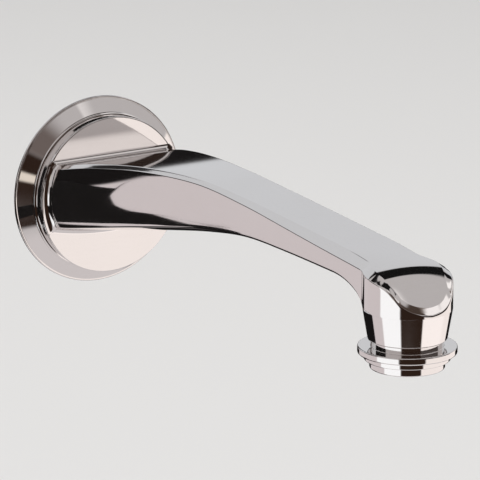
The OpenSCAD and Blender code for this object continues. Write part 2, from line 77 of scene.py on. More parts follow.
class Sheet:
    """Adds and joins the nodes of one node tree."""

    def __init__(self, tree: bpy.types.NodeTree) -> None:
        """Takes the tree to work on.

        Args:
            tree: Node tree of a material, a group or the world.
        """
        self.tree = tree

    def add(self, kind: str, **settings: object) -> bpy.types.Node:
        """Adds a node.

        Args:
            kind: Node type, such as "ShaderNodeMath".
            **settings: Attributes to set on the node.

        Returns:
            The new node.
        """
        node = self.tree.nodes.new(kind)
        for key, value in settings.items():
            setattr(node, key, value)
        return node

    def feed(self, socket: bpy.types.NodeSocket, value: object) -> None:
        """Joins a socket to another one, or sets its value.

        Args:
            socket: Input socket.
            value: Output socket, number, vector or colour.
        """
        if isinstance(value, bpy.types.NodeSocket):
            self.tree.links.new(value, socket)
        elif value is not None:
            socket.default_value = value

    def math(self, operation: str, *values: object, clamp: bool = False) -> bpy.types.NodeSocket:
        """Adds a Math node.

        Args:
            operation: Name of the operation.
            *values: Up to three numbers or sockets.
            clamp: Whether the result is kept between 0 and 1.

        Returns:
            The node's output.
        """
        node = self.add("ShaderNodeMath", operation=operation, use_clamp=clamp)
        for socket, value in zip(node.inputs, values):
            self.feed(socket, value)
        return node.outputs[0]

    def ramp(self, value: object, low: object, high: object, start: object = 0.0, end: object = 1.0) -> bpy.types.NodeSocket:
        """Maps a value smoothly from one range to another.

        Args:
            value: Number or socket to map.
            low: Value that becomes start.
            high: Value that becomes end.
            start: Result at low.
            end: Result at high.

        Returns:
            The mapped value.
        """
        node = self.add("ShaderNodeMapRange", interpolation_type="SMOOTHSTEP")
        for name, item in zip(("Value", "From Min", "From Max", "To Min", "To Max"), (value, low, high, start, end)):
            self.feed(node.inputs[name], item)
        return node.outputs[0]

    def mix(self, factor: object, first: object, second: object) -> bpy.types.NodeSocket:
        """Mixes two colours.

        Args:
            factor: Share of the second colour.
            first: Colour or socket.
            second: Colour or socket.

        Returns:
            The mixed colour.
        """
        node = self.add("ShaderNodeMix", data_type="RGBA")
        for index, item in zip((0, 6, 7), (factor, first, second)):
            self.feed(node.inputs[index], item)
        return node.outputs[2]

    def noise(self, vector: object, scale: object, detail: float = 2.0, stretch: Optional[Point] = None) -> bpy.types.NodeSocket:
        """Adds a noise pattern.

        Args:
            vector: Coordinates in millimetres.
            scale: Cells per millimetre.
            detail: Octaves of finer noise.
            stretch: Factors that squeeze the pattern along each axis.

        Returns:
            The noise value, around 0.5.
        """
        if stretch:
            squeeze = self.add("ShaderNodeVectorMath", operation="MULTIPLY")
            self.feed(squeeze.inputs[0], vector)
            self.feed(squeeze.inputs[1], stretch)
            vector = squeeze.outputs[0]
        node = self.add("ShaderNodeTexNoise")
        self.feed(node.inputs["Vector"], vector)
        self.feed(node.inputs["Scale"], scale)
        self.feed(node.inputs["Detail"], detail)
        return node.outputs["Fac"]


def rgba(colour: Sequence[float]) -> tuple[float, float, float, float]:
    """Returns a colour with full opacity."""
    return (colour[0], colour[1], colour[2], 1.0)


def new_group(name: str, inputs: dict[str, float], outputs: Sequence[str]) -> tuple[bpy.types.NodeTree, Sheet, bpy.types.Node, bpy.types.Node]:
    """Starts a shader node group.

    Args:
        name: Name of the group.
        inputs: Names of number inputs with their defaults; "Vector" is made a vector.
        outputs: Names of number outputs.

    Returns:
        The group, its sheet, its input node and its output node.
    """
    tree = bpy.data.node_groups.new(name, "ShaderNodeTree")
    for key, value in inputs.items():
        kind = "NodeSocketVector" if key == "Vector" else "NodeSocketFloat"
        socket = tree.interface.new_socket(name=key, in_out="INPUT", socket_type=kind)
        if key != "Vector":
            socket.default_value = value
    for key in outputs:
        tree.interface.new_socket(name=key, in_out="OUTPUT", socket_type="NodeSocketFloat")
    sheet = Sheet(tree)
    return tree, sheet, sheet.add("NodeGroupInput"), sheet.add("NodeGroupOutput")


class Effects:
    """Shader groups that several finishes share, each built once."""

    _built: dict[str, bpy.types.NodeTree] = {}

    @classmethod
    def get(cls, name: str) -> bpy.types.NodeTree:
        """Returns a group, built at its first use."""
        if name not in cls._built:
            cls._built[name] = getattr(cls, "_" + name)()
        return cls._built[name]

    @staticmethod
    def _hand_polish() -> bpy.types.NodeTree:
        """Builds the haze and the hairline marks of a buffed metal.

        Returns:
            Group with the outputs Haze, 0 to 1, and Height.
        """
        tree, sheet, start, end = new_group("hand_polish", {"Vector": 0.0, "Cloud": 0.05, "Hairline": 2.0}, ("Haze", "Height"))
        vector = start.outputs["Vector"]
        cloud = sheet.noise(vector, start.outputs["Cloud"], 3.0)
        lines = sheet.noise(vector, start.outputs["Hairline"], 2.0, (1.0, 0.06, 1.0))
        fine = sheet.noise(vector, start.outputs["Hairline"], 1.0, (0.08, 1.0, 0.7))
        crossed = sheet.math("MULTIPLY", lines, fine)
        haze = sheet.math("ADD", sheet.math("MULTIPLY", cloud, 0.6), sheet.math("MULTIPLY", crossed, 0.8), clamp=True)
        sheet.feed(end.inputs["Haze"], haze)
        sheet.feed(end.inputs["Height"], sheet.math("ADD", sheet.math("MULTIPLY", cloud, 0.7), sheet.math("MULTIPLY", lines, 0.3)))
        return tree

    @staticmethod
    def _turning_marks() -> bpy.types.NodeTree:
        """Builds the fine rings that a lathe leaves round the Y axis.

        Returns:
            Group with the outputs Mark, 0 to 1, and Height.
        """
        tree, sheet, start, end = new_group("turning_marks", {"Vector": 0.0, "Pitch": 0.25}, ("Mark", "Height"))
        split = sheet.add("ShaderNodeSeparateXYZ")
        sheet.feed(split.inputs[0], start.outputs["Vector"])
        across = sheet.math("SQRT", sheet.math("ADD", sheet.math("POWER", split.outputs[0], 2.0), sheet.math("POWER", split.outputs[2], 2.0)))
        along = sheet.math("ADD", across, split.outputs[1])
        wobble = sheet.math("MULTIPLY", sheet.noise(start.outputs["Vector"], 0.4), 0.12)
        phase = sheet.math("DIVIDE", sheet.math("ADD", along, wobble), start.outputs["Pitch"])
        wave = sheet.math("MULTIPLY_ADD", sheet.math("SINE", sheet.math("MULTIPLY", phase, FULL_TURN)), 0.5, 0.5)
        sheet.feed(end.inputs["Mark"], wave)
        sheet.feed(end.inputs["Height"], wave)
        return tree

    @staticmethod
    def _settled_dust() -> bpy.types.NodeTree:
        """Builds the thin dust that lies on faces turned upwards.

        Returns:
            Group with the output Mask, 0 to 1.
        """
        tree, sheet, start, end = new_group("settled_dust", {"Vector": 0.0, "Amount": 0.1}, ("Mask",))
        normal = sheet.add("ShaderNodeSeparateXYZ")
        sheet.feed(normal.inputs[0], sheet.add("ShaderNodeNewGeometry").outputs["Normal"])
        upward = sheet.ramp(normal.outputs[2], 0.2, 1.0)
        specks = sheet.ramp(sheet.noise(start.outputs["Vector"], 1.3, 4.0), 0.45, 0.75)
        sheet.feed(end.inputs["Mask"], sheet.math("MULTIPLY", sheet.math("MULTIPLY", upward, specks), start.outputs["Amount"]))
        return tree


# Finishes


@dataclass(frozen=True)
class Finish:
    """What every finish shares: its name, its two tones and its shine."""

    name: str
    tone: Point
    second_tone: Point
    metallic: float = 0.0
    roughness: float = 0.5
    spread: float = 0.1
    relief: float = 0.0
    dust: float = 0.05

    def base(self) -> tuple[bpy.types.Material, Sheet, bpy.types.Node, bpy.types.NodeSocket]:
        """Starts the material.

        Returns:
            The material, its sheet, its Principled node and its coordinates in millimetres.
        """
        material = bpy.data.materials.new(self.name)
        material.use_nodes = True
        sheet = Sheet(material.node_tree)
        shader = material.node_tree.nodes["Principled BSDF"]
        shader.inputs["Metallic"].default_value = self.metallic
        coordinates = sheet.add("ShaderNodeTexCoord")
        scaled = sheet.add("ShaderNodeVectorMath", operation="SCALE")
        sheet.feed(scaled.inputs[0], coordinates.outputs["Object"])
        scaled.inputs["Scale"].default_value = 1 / MM
        return material, sheet, shader, scaled.outputs[0]

    def group(self, sheet: Sheet, name: str, vector: bpy.types.NodeSocket, **values: float) -> bpy.types.Node:
        """Places a shared effect.

        Args:
            sheet: Sheet of the material.
            name: Name of the effect.
            vector: Coordinates in millimetres.
            **values: The effect's own values, with spaces in names as underscores.

        Returns:
            The group node.
        """
        node = sheet.add("ShaderNodeGroup", node_tree=Effects.get(name))
        sheet.feed(node.inputs["Vector"], vector)
        for key, value in values.items():
            node.inputs[key].default_value = value
        return node

    def finish(self, sheet: Sheet, shader: bpy.types.Node, mask: bpy.types.NodeSocket, height: bpy.types.NodeSocket, vector: bpy.types.NodeSocket) -> None:
        """Joins colour, roughness, relief and dust to the shader.

        Args:
            sheet: Sheet of the material.
            shader: Principled node.
            mask: Pattern that varies tone and roughness, 0 to 1.
            height: Pattern of the relief.
            vector: Coordinates in millimetres.
        """
        dust = self.group(sheet, "settled_dust", vector, Amount=self.dust).outputs["Mask"]
        tone = sheet.mix(mask, rgba(self.tone), rgba(self.second_tone))
        sheet.feed(shader.inputs["Base Color"], sheet.mix(dust, tone, (0.55, 0.53, 0.50, 1.0)))
        rough = sheet.math("MULTIPLY_ADD", mask, self.spread, self.roughness)
        sheet.feed(shader.inputs["Roughness"], sheet.math("ADD", rough, sheet.math("MULTIPLY", dust, 0.4), clamp=True))
        bump = sheet.add("ShaderNodeBump")
        bump.inputs["Strength"].default_value = 1.0
        bump.inputs["Distance"].default_value = self.relief * MM
        sheet.feed(bump.inputs["Height"], height)
        sheet.feed(shader.inputs["Normal"], bump.outputs["Normal"])


@dataclass(frozen=True)
class PolishedPlate(Finish):
    """Bright plated metal, buffed by hand."""

    cloud: float = 0.045
    hairline: float = 1.6

    def build(self) -> bpy.types.Material:
        """Returns the finished material."""
        material, sheet, shader, vector = self.base()
        polish = self.group(sheet, "hand_polish", vector, Cloud=self.cloud, Hairline=self.hairline)
        self.finish(sheet, shader, polish.outputs["Haze"], polish.outputs["Height"], vector)
        return material


@dataclass(frozen=True)
class TurnedMetal(Finish):
    """Bare metal with the fine rings of the lathe."""

    pitch: float = 0.22

    def build(self) -> bpy.types.Material:
        """Returns the finished material."""
        material, sheet, shader, vector = self.base()
        marks = self.group(sheet, "turning_marks", vector, Pitch=self.pitch)
        tarnish = sheet.ramp(sheet.noise(vector, 0.16, 4.0), 0.35, 0.7)
        mask = sheet.math("ADD", sheet.math("MULTIPLY", tarnish, 0.7), sheet.math("MULTIPLY", marks.outputs["Mark"], 0.3), clamp=True)
        self.finish(sheet, shader, mask, marks.outputs["Height"], vector)
        return material


@dataclass(frozen=True)
class Moulded(Finish):
    """Moulded rubber, pressed fibre or acetal, with a fine even grain."""

    grain: float = 3.0

    def build(self) -> bpy.types.Material:
        """Returns the finished material."""
        material, sheet, shader, vector = self.base()
        fine = sheet.noise(vector, self.grain, 3.0)
        broad = sheet.ramp(sheet.noise(vector, 0.12, 3.0), 0.3, 0.7)
        mask = sheet.math("ADD", sheet.math("MULTIPLY", broad, 0.6), sheet.math("MULTIPLY", fine, 0.4), clamp=True)
        self.finish(sheet, shader, mask, fine, vector)
        return material


@dataclass(frozen=True)
class Finishes:
    """The finishes of the part, one for each slot."""

    nickel: PolishedPlate = PolishedPlate(
        "polished_nickel", (0.81, 0.78, 0.77), (0.77, 0.735, 0.72), metallic=1.0, roughness=0.035, spread=0.05,
        relief=0.0012, dust=0.02)
    brass: TurnedMetal = TurnedMetal(
        "turned_brass", (0.83, 0.62, 0.29), (0.62, 0.42, 0.17), metallic=1.0, roughness=0.24, spread=0.16, relief=0.006)
    rubber: Moulded = Moulded("moulded_rubber", (0.018, 0.018, 0.019), (0.034, 0.033, 0.032), roughness=0.55, spread=0.2, relief=0.02)
    fibre: Moulded = Moulded("red_fibre", (0.33, 0.045, 0.026), (0.22, 0.026, 0.017), roughness=0.7, spread=0.15, relief=0.03, grain=1.6)
    acetal: Moulded = Moulded("white_acetal", (0.80, 0.81, 0.80), (0.71, 0.72, 0.71), roughness=0.38, spread=0.12, relief=0.006)
    steel: TurnedMetal = TurnedMetal("stainless_steel", (0.62, 0.61, 0.60), (0.50, 0.49, 0.48), metallic=1.0, roughness=0.22, spread=0.14, relief=0.004, pitch=0.16)

    def by_slot(self) -> dict[Slot, bpy.types.Material]:
        """Returns the finished material of each slot."""
        return {
            Slot.NICKEL: self.nickel.build(), Slot.BRASS: self.brass.build(), Slot.RUBBER: self.rubber.build(),
            Slot.FIBRE: self.fibre.build(), Slot.ACETAL: self.acetal.build(), Slot.STEEL: self.steel.build(),
        }


# Shaping tools


def ease(share: float) -> float:
    """Returns a share eased at both ends."""
    kept = min(max(share, 0.0), 1.0)
    return kept * kept * (3 - 2 * kept)


def soft_min(first: float, second: float, soft: float) -> float:
    """Returns the lower of two values with a soft change between them."""
    return (first + second - math.hypot(first - second, soft)) / 2


def soft_max(first: float, second: float, soft: float) -> float:
    """Returns the higher of two values with a soft change between them."""
    return (first + second + math.hypot(first - second, soft)) / 2


def smooth_row(table: Sequence[Sequence[float]], column: int, place: float) -> float:
    """Reads a smooth value from a table whose first column is the place.

    Args:
        table: Rows in order of place.
        column: Column to read.
        place: Where to read it.

    Returns:
        The cubic value between the rows.
    """
    i = 0
    while i < len(table) - 2 and place > table[i + 1][0]:
        i += 1

    def slope(k: int) -> float:
        """Returns the slope at row k."""
        a, b = max(k - 1, 0), min(k + 1, len(table) - 1)
        return (table[b][column] - table[a][column]) / (table[b][0] - table[a][0])

    step = table[i + 1][0] - table[i][0]
    s = (place - table[i][0]) / step
    return (table[i][column] * (2 * s**3 - 3 * s**2 + 1) + slope(i) * step * (s**3 - 2 * s**2 + s)
            + table[i + 1][column] * (3 * s**2 - 2 * s**3) + slope(i + 1) * step * (s**3 - s**2))


def fillet(corner: Pair, before: Pair, after: Pair, radius: float, steps: int) -> list[Pair]:
    """Rounds a corner.

    Args:
        corner: The sharp corner.
        before: Unit direction that arrives at it.
        after: Unit direction that leaves it.
        radius: Radius of the arc.
        steps: Segments of the arc.

    Returns:
        Points of the arc, steps + 1 of them.
    """
    cross = before[0] * after[1] - before[1] * after[0]
    dot = before[0] * after[0] + before[1] * after[1]
    turn = math.atan2(cross, dot)
    reach = max(abs(radius * math.tan(turn / 2)), 0.02)
    start = (corner[0] - before[0] * reach, corner[1] - before[1] * reach)
    if abs(turn) < 1e-4:
        return [(start[0] + before[0] * reach * 2 * k / steps, start[1] + before[1] * reach * 2 * k / steps) for k in range(steps + 1)]
    arc_r = reach / math.tan(turn / 2)
    centre = (start[0] - before[1] * arc_r, start[1] + before[0] * arc_r)
    points = []
    for k in range(steps + 1):
        a = turn * k / steps
        dx, dy = start[0] - centre[0], start[1] - centre[1]
        points.append((centre[0] + dx * math.cos(a) - dy * math.sin(a), centre[1] + dx * math.sin(a) + dy * math.cos(a)))
    return points


def direction(first: Pair, second: Pair) -> Pair:
    """Returns the unit direction from one point to another."""
    span = math.hypot(second[0] - first[0], second[1] - first[1]) or 1.0
    return ((second[0] - first[0]) / span, (second[1] - first[1]) / span)


def rounded(corners: Sequence[tuple[float, float, float]], closed: bool = True, steps: int = 5, support: float = 0.12) -> list[Pair]:
    """Rounds the corners of a turned profile.

    Args:
        corners: Points as (radius, place along the axis, rounding).
        closed: Whether the last point joins the first.
        steps: Segments of each rounding.
        support: Distance past each rounding of the extra point that keeps the flats flat.

    Returns:
        The points of the profile.
    """
    count = len(corners)
    points: list[Pair] = []
    for i, (r, h, radius) in enumerate(corners):
        here = (r, h)
        if radius <= 0 or (not closed and i in (0, count - 1)):
            points.append(here)
            continue
        last, following = corners[i - 1][:2], corners[(i + 1) % count][:2]
        before, after = direction(last, here), direction(here, following)
        arc = fillet(here, before, after, radius, steps)
        room_in = math.dist(last, arc[0])
        room_out = math.dist(arc[-1], following)
        if room_in > 3 * support:
            points.append((arc[0][0] - before[0] * support, arc[0][1] - before[1] * support))
        points += arc
        if room_out > 3 * support:
            points.append((arc[-1][0] + after[0] * support, arc[-1][1] + after[1] * support))
    return points


def finish_mesh(name: str, bm: bmesh.types.BMesh, crease: float = 38.0) -> bpy.types.Object:
    """Welds a mesh, turns its faces outwards and makes an object of it.

    Args:
        name: Name of the piece.
        bm: Mesh in metres; it is freed.
        crease: Angle in degrees past which an edge stays sharp.

    Returns:
        The object, at the origin.
    """
    bmesh.ops.remove_doubles(bm, verts=bm.verts, dist=WELD)
    bmesh.ops.dissolve_degenerate(bm, edges=bm.edges, dist=WELD)
    bmesh.ops.recalc_face_normals(bm, faces=bm.faces)
    for face in bm.faces:
        face.smooth = True
    mesh = bpy.data.meshes.new(name)
    bm.to_mesh(mesh)
    bm.free()
    mesh.set_sharp_from_angle(angle=math.radians(crease))
    piece = bpy.data.objects.new(name, mesh)
    bpy.context.scene.collection.objects.link(piece)
    return piece


def turned(bm: bmesh.types.BMesh, profile: Sequence[Pair], axis: Axis, steps: int = 160, reach: float = 0.0, closed: bool = True) -> None:
    """Spins a profile into a turned shape.

    Args:
        bm: Mesh that takes the shape.
        profile: Points as (radius, distance from the wall) or (radius, height).
        axis: Axis of the turning.
        steps: Segments of the full turn.
        reach: Distance of the outlet's axis from the wall.
        closed: Whether the profile is a closed loop.
    """
    def place(point: Pair) -> Vector:
        """Returns a profile point in the frame."""
        if axis is Axis.WALL:
            return Vector((point[0], -point[1], 0.0)) * MM
        return Vector((point[0], -reach, point[1])) * MM

    first = bmesh.ops.create_vert(bm, co=place(profile[0]))["vert"][0]
    chain, edges = [first], []
    for point in profile[1:]:
        grown = bmesh.ops.extrude_vert_indiv(bm, verts=[chain[-1]])
        chain.append(grown["verts"][0])
        edges += grown["edges"]
        chain[-1].co = place(point)
    if closed:
        edges += bmesh.ops.contextual_create(bm, geom=[chain[-1], first])["edges"]
    centre = (0, 0, 0) if axis is Axis.WALL else (0, -reach * MM, 0)
    along = (0, 1, 0) if axis is Axis.WALL else (0, 0, 1)
    bmesh.ops.spin(bm, geom=chain + edges, cent=centre, axis=along, angle=FULL_TURN, steps=steps, use_merge=True)


def wrapped(name: str, rows: int, columns: int, place: Callable[[int, int], Point]) -> bpy.types.Object:
    """Wraps a grid round a shape.

    Args:
        name: Name of the piece.
        rows: Rings along the shape.
        columns: Points round each ring, the last of them on the first.
        place: Gives the point of a ring in millimetres.

    Returns:
        The piece.
    """
    bm = bmesh.new()
    bmesh.ops.create_grid(bm, x_segments=columns - 1, y_segments=rows - 1, size=0.5)
    for vert in bm.verts:
        column = round((vert.co.x + 0.5) * (columns - 1))
        row = round((vert.co.y + 0.5) * (rows - 1))
        vert.co = Vector(place(row, column)) * MM
    return finish_mesh(name, bm)


def dress(piece: bpy.types.Object, material: bpy.types.Material, slot: Slot, *nodes: str) -> bpy.types.Object:
    """Gives a new piece its finish and its body.

    Args:
        piece: The piece.
        material: Its finish.
        slot: The record's slot; not used.
        *nodes: CAD nodes that the piece stands for.

    Returns:
        The piece.
    """
    piece.data.materials.clear()
    piece.data.materials.append(material)
    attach(piece, "root")
    if nodes:
        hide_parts(*nodes)
    LOG.info("%s: %d faces in %s", piece.name, len(piece.data.polygons), material.name)
    return piece


# Spout body


@dataclass
class Station:
    """One rib of the arm: a point of its plan outline and the direction outwards."""

    x: float
    t: float
    out_x: float
    out_t: float


@dataclass
class SpoutBody:
    """Base disc, flared neck, arm, bevelled nose and collar, as one skin."""

    base_r: float = 29.25
    base_back: float = 6.5
    base_front: float = 11.1
    line_at: float = 9.6
    line_depth: float = 0.4
    spigot_r: float = 26.0
    spigot_end: float = 2.2
    hollow_r: float = 21.0
    hollow_floor: float = 7.3
    socket_r: float = 7.6
    socket_floor: float = 27.0
    groove: tuple[float, float, float] = (24.624, 3.225, 5.475)
    reach: float = 209.5
    neck_inset: float = 2.6
    neck_fillet: float = 2.0
    neck_top: float = 13.9
    neck_under: float = 9.6
    neck_crown: float = 2.4
    waist_w: float = 22.6
    shoulder_w: float = 25.2
    crest_z: float = 25.0
    nose_top: float = 21.7
    under_z: float = 12.9
    belly: float = 2.8
    bevel_root: float = 1.45
    nose_inset: float = 2.7
    nose_r: float = 15.2
    collar_r: float = 13.4
    collar_drop: float = 5.1
    collar_z: float = 5.4
    bore_r: float = 12.05
    bend_r: float = 15.0
    front_edge_z: float = 10.0
    front_slope: float = 47.0
    brow_soft: float = 2.8
    brow_radius: float = 75.0
    brow_from: float = 186.0
    brow_run: float = 20.0
    # Radius, distance from the wall, head and foot of the grub screw's hole
    grub_hole: tuple[float, float, float, float] = (2.55, 16.4, -7.0, -20.0)
    corner_r: float = 0.5
    under_corner_r: float = 0.9
    front_bevel: Pair = (3.0, 1.7)
    front_corner_r: Pair = (2.0, 1.5)
    # Heights of the bevel's lower edge round the nose, by degrees from the side to the front
    front_line: tuple[Pair, ...] = (
        (0, 16.9), (10, 16.5), (20, 15.9), (30, 15.0), (38, 13.0), (47, 10.3), (60, 8.1), (74, 6.8), (90, 6.2),
    )
    rib_steps: int = 5
    wall_points: int = 12
    chord_points: int = 22
    under_points: int = 22
    curve: tuple[tuple[float, ...], ...] = (
        (0.00, 1.00, 0.00, 0.00, 0.00),
        (0.10, 0.78, 0.41, 0.00, 0.19),
        (0.24, 0.39, 0.80, 0.00, 0.46),
        (0.40, 0.07, 1.00, 0.00, 0.74),
        (0.56, 0.00, 1.00, 0.14, 0.94),
        (0.70, 0.00, 1.00, 0.47, 0.99),
        (0.90, 0.00, 1.00, 1.00, 1.00),
        (1.00, 0.00, 1.00, 1.30, 1.00),
    )
    rings: list[list[Point]] = field(default_factory=list)

    def share(self, t: float) -> float:
        """Returns the share of the arm's run at distance t from the wall."""
        return (t - self.base_front) / (self.reach - self.base_front)

    def arm_half_w(self, t: float) -> float:
        """Returns half the arm's width at t, without the nose."""
        u = self.share(t)
        narrow = (self.waist_w + (self.shoulder_w - self.waist_w) * ease((u - 0.45) / 0.55)) / 2
        return narrow + (self.base_r - self.neck_inset - narrow) * smooth_row(self.curve, 1, u)

    def half_w(self, t: float) -> float:
        """Returns half the outline's width at t, behind the outlet's axis."""
        away = abs(t - self.reach)
        nose = math.sqrt(self.nose_r**2 - away**2) if away < self.nose_r else 0.0
        return soft_max(self.arm_half_w(t), nose, 0.6)

    def crown(self, t: float) -> float:
        """Returns the bulge of the side wall at t."""
        return max(self.neck_crown * smooth_row(self.curve, 1, self.share(t)), 0.0)

    def flare(self, t: float) -> float:
        """Returns how far the fillet to the base disc widens the section at t."""
        s = max(t - self.base_front, 0.0)
        r = self.neck_fillet
        return 0.0 if s >= r else r - math.sqrt(r**2 - (r - s) ** 2)

    def top_z(self, t: float, x: float = 0.0) -> float:
        """Returns the height of the top at t and x, the brow and the crowned front facet with it."""
        u = self.share(t)
        arm = (self.neck_top + (self.crest_z - self.neck_top) * smooth_row(self.curve, 2, u)
               - (self.crest_z - self.nose_top) * smooth_row(self.curve, 3, u))
        front = self.front_edge_z + (self.reach + self.nose_r - self.nose_inset - t) * math.tan(math.radians(self.front_slope))
        fall = x**2 / (2 * self.brow_radius) * ease((t - self.brow_from) / self.brow_run)
        return soft_min(arm, front, self.brow_soft) - fall

    def under_height(self, x: float, t: float, edge: float) -> float:
        """Returns the height of the underside.

        Args:
            x: Distance from the middle plane.
            t: Distance from the wall.
            edge: Half width of the underside there.

        Returns:
            The height above the inlet's axis.
        """
        if t >= self.reach:
            return self.collar_z
        u = self.share(t)
        arm = -self.neck_under + (self.under_z + self.neck_under) * smooth_row(self.curve, 4, u)
        sag = self.belly * (1 - 0.35 * ease((u - 0.3) / 0.5))
        plain = arm - self.flare(t) - sag * (1 - (x / max(edge, 1.0)) ** 2)
        s = min(max((self.nose_r + self.bend_r - math.hypot(x, t - self.reach)) / self.bend_r, 0.0), 1.0)
        return plain - (plain - self.collar_z) * (1 - math.sqrt(1 - s * s))

    def bevel(self, station: Station) -> Pair:
        """Returns the width of the bevel at a station and the height of its lower edge."""
        side, front = self.front_bevel
        if station.t < self.reach - 1e-6:
            width = self.bevel_root + (side - self.bevel_root) * ease((self.share(station.t) - 0.4) / 0.55)
            return width, self.top_z(station.t + station.out_t * -width) + self.flare(station.t) - width
        turn = math.degrees(math.atan2(station.out_t, station.out_x))
        return side + (front - side) * ease((turn - 15) / 50), smooth_row(self.front_line, 1, turn)

    def half_rib(self, station: Station) -> list[Point]:
        """Shapes one half of a ring, from the middle of the top to the middle of the underside.

        Args:
            station: Where the rib stands.

        Returns:
            Points as (x, t, z).
        """
        at, flare, crown = station, self.flare(station.t), self.crown(station.t)
        width, lower_z = self.bevel(station)
        steps = self.rib_steps
        round_front = ease((at.t - self.reach - 3.0) / 9.0)
        upper_r, lower_r = (self.corner_r + (r - self.corner_r) * round_front for r in self.front_corner_r)

        def plan(e: float, z: float) -> Point:
            """Returns the point at e outwards from the station."""
            return (at.x + at.out_x * e, at.t + at.out_t * e, z)

        def top_at(e: float) -> float:
            """Returns the height of the top at e outwards from the station."""
            return self.top_z(at.t + at.out_t * e, at.x + at.out_x * e)

        # The sharp corners: bevel's upper edge, bevel's lower edge and the wall's foot
        upper = (-width + flare, top_at(-width) + flare)
        lower = (flare, lower_z)
        foot = (flare, self.under_height(at.x, at.t, at.x))
        tall = max(lower[1] - foot[1], 0.5)

        def wall(s: float) -> Pair:
            """Returns the wall's point at share s of its height."""
            return (flare + crown * (1 - (2 * s - 1) ** 2), lower[1] - tall * s)

        slope = (top_at(-width + 0.05) - top_at(-width - 0.05)) / 0.1
        along_top = direction((0.0, 0.0), (1.0, slope))
        along_bevel = direction(upper, lower)
        wall_head, wall_foot = direction(wall(0.0), wall(0.02)), direction(wall(0.98), wall(1.0))
        near = 0.6
        belly_point = self.under_height(at.x - near, at.t, at.x)
        along_under = direction((0.0, foot[1]), (-near, belly_point))
        foot_r = self.under_corner_r * ease((self.reach - 8.0 - at.t) / 5.0) + 0.02
        first = fillet(upper, along_top, along_bevel, upper_r, steps)
        second = fillet(lower, along_bevel, wall_head, lower_r, steps)
        third = fillet(foot, wall_foot, along_under, foot_r, steps)

        # The top runs straight across to the first rounding
        start = plan(*first[0])
        points = []
        for k in range(self.chord_points):
            share = k / (self.chord_points - 1)
            share = 1 - (1 - share) ** 1.35
            points.append((start[0] * share, start[1], self.top_z(start[1], start[0] * share) + flare))
        points += [plan(*p) for p in first[1:]]
        points.append(plan(*[a + (b - a) * 0.25 for a, b in zip(first[-1], second[0])]))
        points.append(plan(*[a + (b - a) * 0.75 for a, b in zip(first[-1], second[0])]))
        points += [plan(*p) for p in second]
        head = math.dist(second[-1], lower) / tall
        toe = 1 - math.dist(third[0], foot) / tall
        for k in range(1, self.wall_points):
            share = k / self.wall_points
            points.append(plan(*wall(head + (toe - head) * (share * 0.6 + 0.4 * ease(share)))))
        points += [plan(*p) for p in third]
        end = points[-1]
        for k in range(1, self.under_points):
            share = k / (self.under_points - 1)
            share = share**1.35
            x = end[0] * (1 - share)
            t = end[1] + (at.t - end[1]) * share
            points.append((x, t, self.under_height(x, t, at.x)))
        return points

    def ring(self, station: Station) -> list[Point]:
        """Returns a closed ring of points (x, y, z), its last point on its first."""
        half = self.half_rib(station)
        right = [(x, -t, z) for x, t, z in half]
        left = [(-x, y, z) for x, y, z in reversed(right)]
        return right + left[1:]

    def stations(self) -> list[Station]:
        """Places the ribs from the base disc to the front of the nose.

        Returns:
            The stations in order.
        """
        places = [self.base_front + self.neck_fillet * (1 - math.cos(math.radians(a))) for a in range(0, 90, 9)]
        t = self.base_front + self.neck_fillet
        while t < self.reach - 0.2:
            places.append(t)
            t += 1.4 if t < 186 else (0.8 if t < 198 else 0.4)
        found = []
        for t in places:
            edge = self.half_w(t) - self.crown(t)
            lean = (self.half_w(t + 0.05) - self.half_w(t - 0.05)) / 0.1 * ease((t - 188) / 14)
            span = math.hypot(1.0, lean)
            found.append(Station(edge, t, 1 / span, -lean / span))
        turns = 64
        for k in range(turns + 1):
            a = 0.5 * math.pi * k / turns
            c, s = (math.cos(a), math.sin(a)) if k < turns else (0.0, 1.0)
            found.append(Station(self.nose_r * c, self.reach + self.nose_r * s, c, s))
        return found

    def base_rings(self, root: Sequence[Point]) -> list[list[Point]]:
        """Turns the hollow back, the spigot and the base disc as rings that match the arm's root.

        Args:
            root: The arm's first ring.

        Returns:
            The rings from the socket's floor to the face of the disc.
        """
        groove_r, groove_in, groove_out = self.groove
        edge_r = self.base_r - 0.3
        turned_line = edge_r - self.line_depth
        corners = [
            (0.0, self.socket_floor, 0.0), (self.socket_r, self.socket_floor, 0.2), (self.socket_r, self.hollow_floor, 0.4),
            (self.hollow_r, self.hollow_floor, 0.4), (self.hollow_r, self.spigot_end, 0.3), (self.spigot_r, self.spigot_end, 0.3),
            (self.spigot_r, groove_in, 0.1), (groove_r, groove_in, 0.1), (groove_r, groove_out, 0.1), (self.spigot_r, groove_out, 0.1),
            (self.spigot_r, self.base_back, 0.1), (edge_r, self.base_back, 0.12), (edge_r, self.line_at, 0.1),
            (turned_line, self.line_at + 0.2, 0.06), (turned_line, self.line_at + 0.5, 0.06), (self.base_r, self.line_at + 0.55, 0.08),
            (self.base_r, self.base_front, 0.4), (self.base_r - 1.2, self.base_front, 0.0),
        ]
        profile = rounded(corners, closed=False, steps=3)[:-1]
        angles = [math.atan2(z, x) for x, _, z in root]
        rings = [[(r * math.cos(a), -t, r * math.sin(a)) for a in angles] for r, t in profile]
        last = rings[-1]
        for share in (0.05, 0.25, 0.5, 0.75, 0.93):
            rings.append([(p[0] + (q[0] - p[0]) * share, p[1], p[2] + (q[2] - p[2]) * share) for p, q in zip(last, root)])
        return rings

    def build_skin(self) -> bpy.types.Object:
        """Returns the skin from the hollow back to the nose."""
        arm = [self.ring(station) for station in self.stations()]
        rings = self.base_rings(arm[0]) + arm
        return wrapped("body_skin", len(rings), len(rings[0]), lambda row, column: rings[row][column])

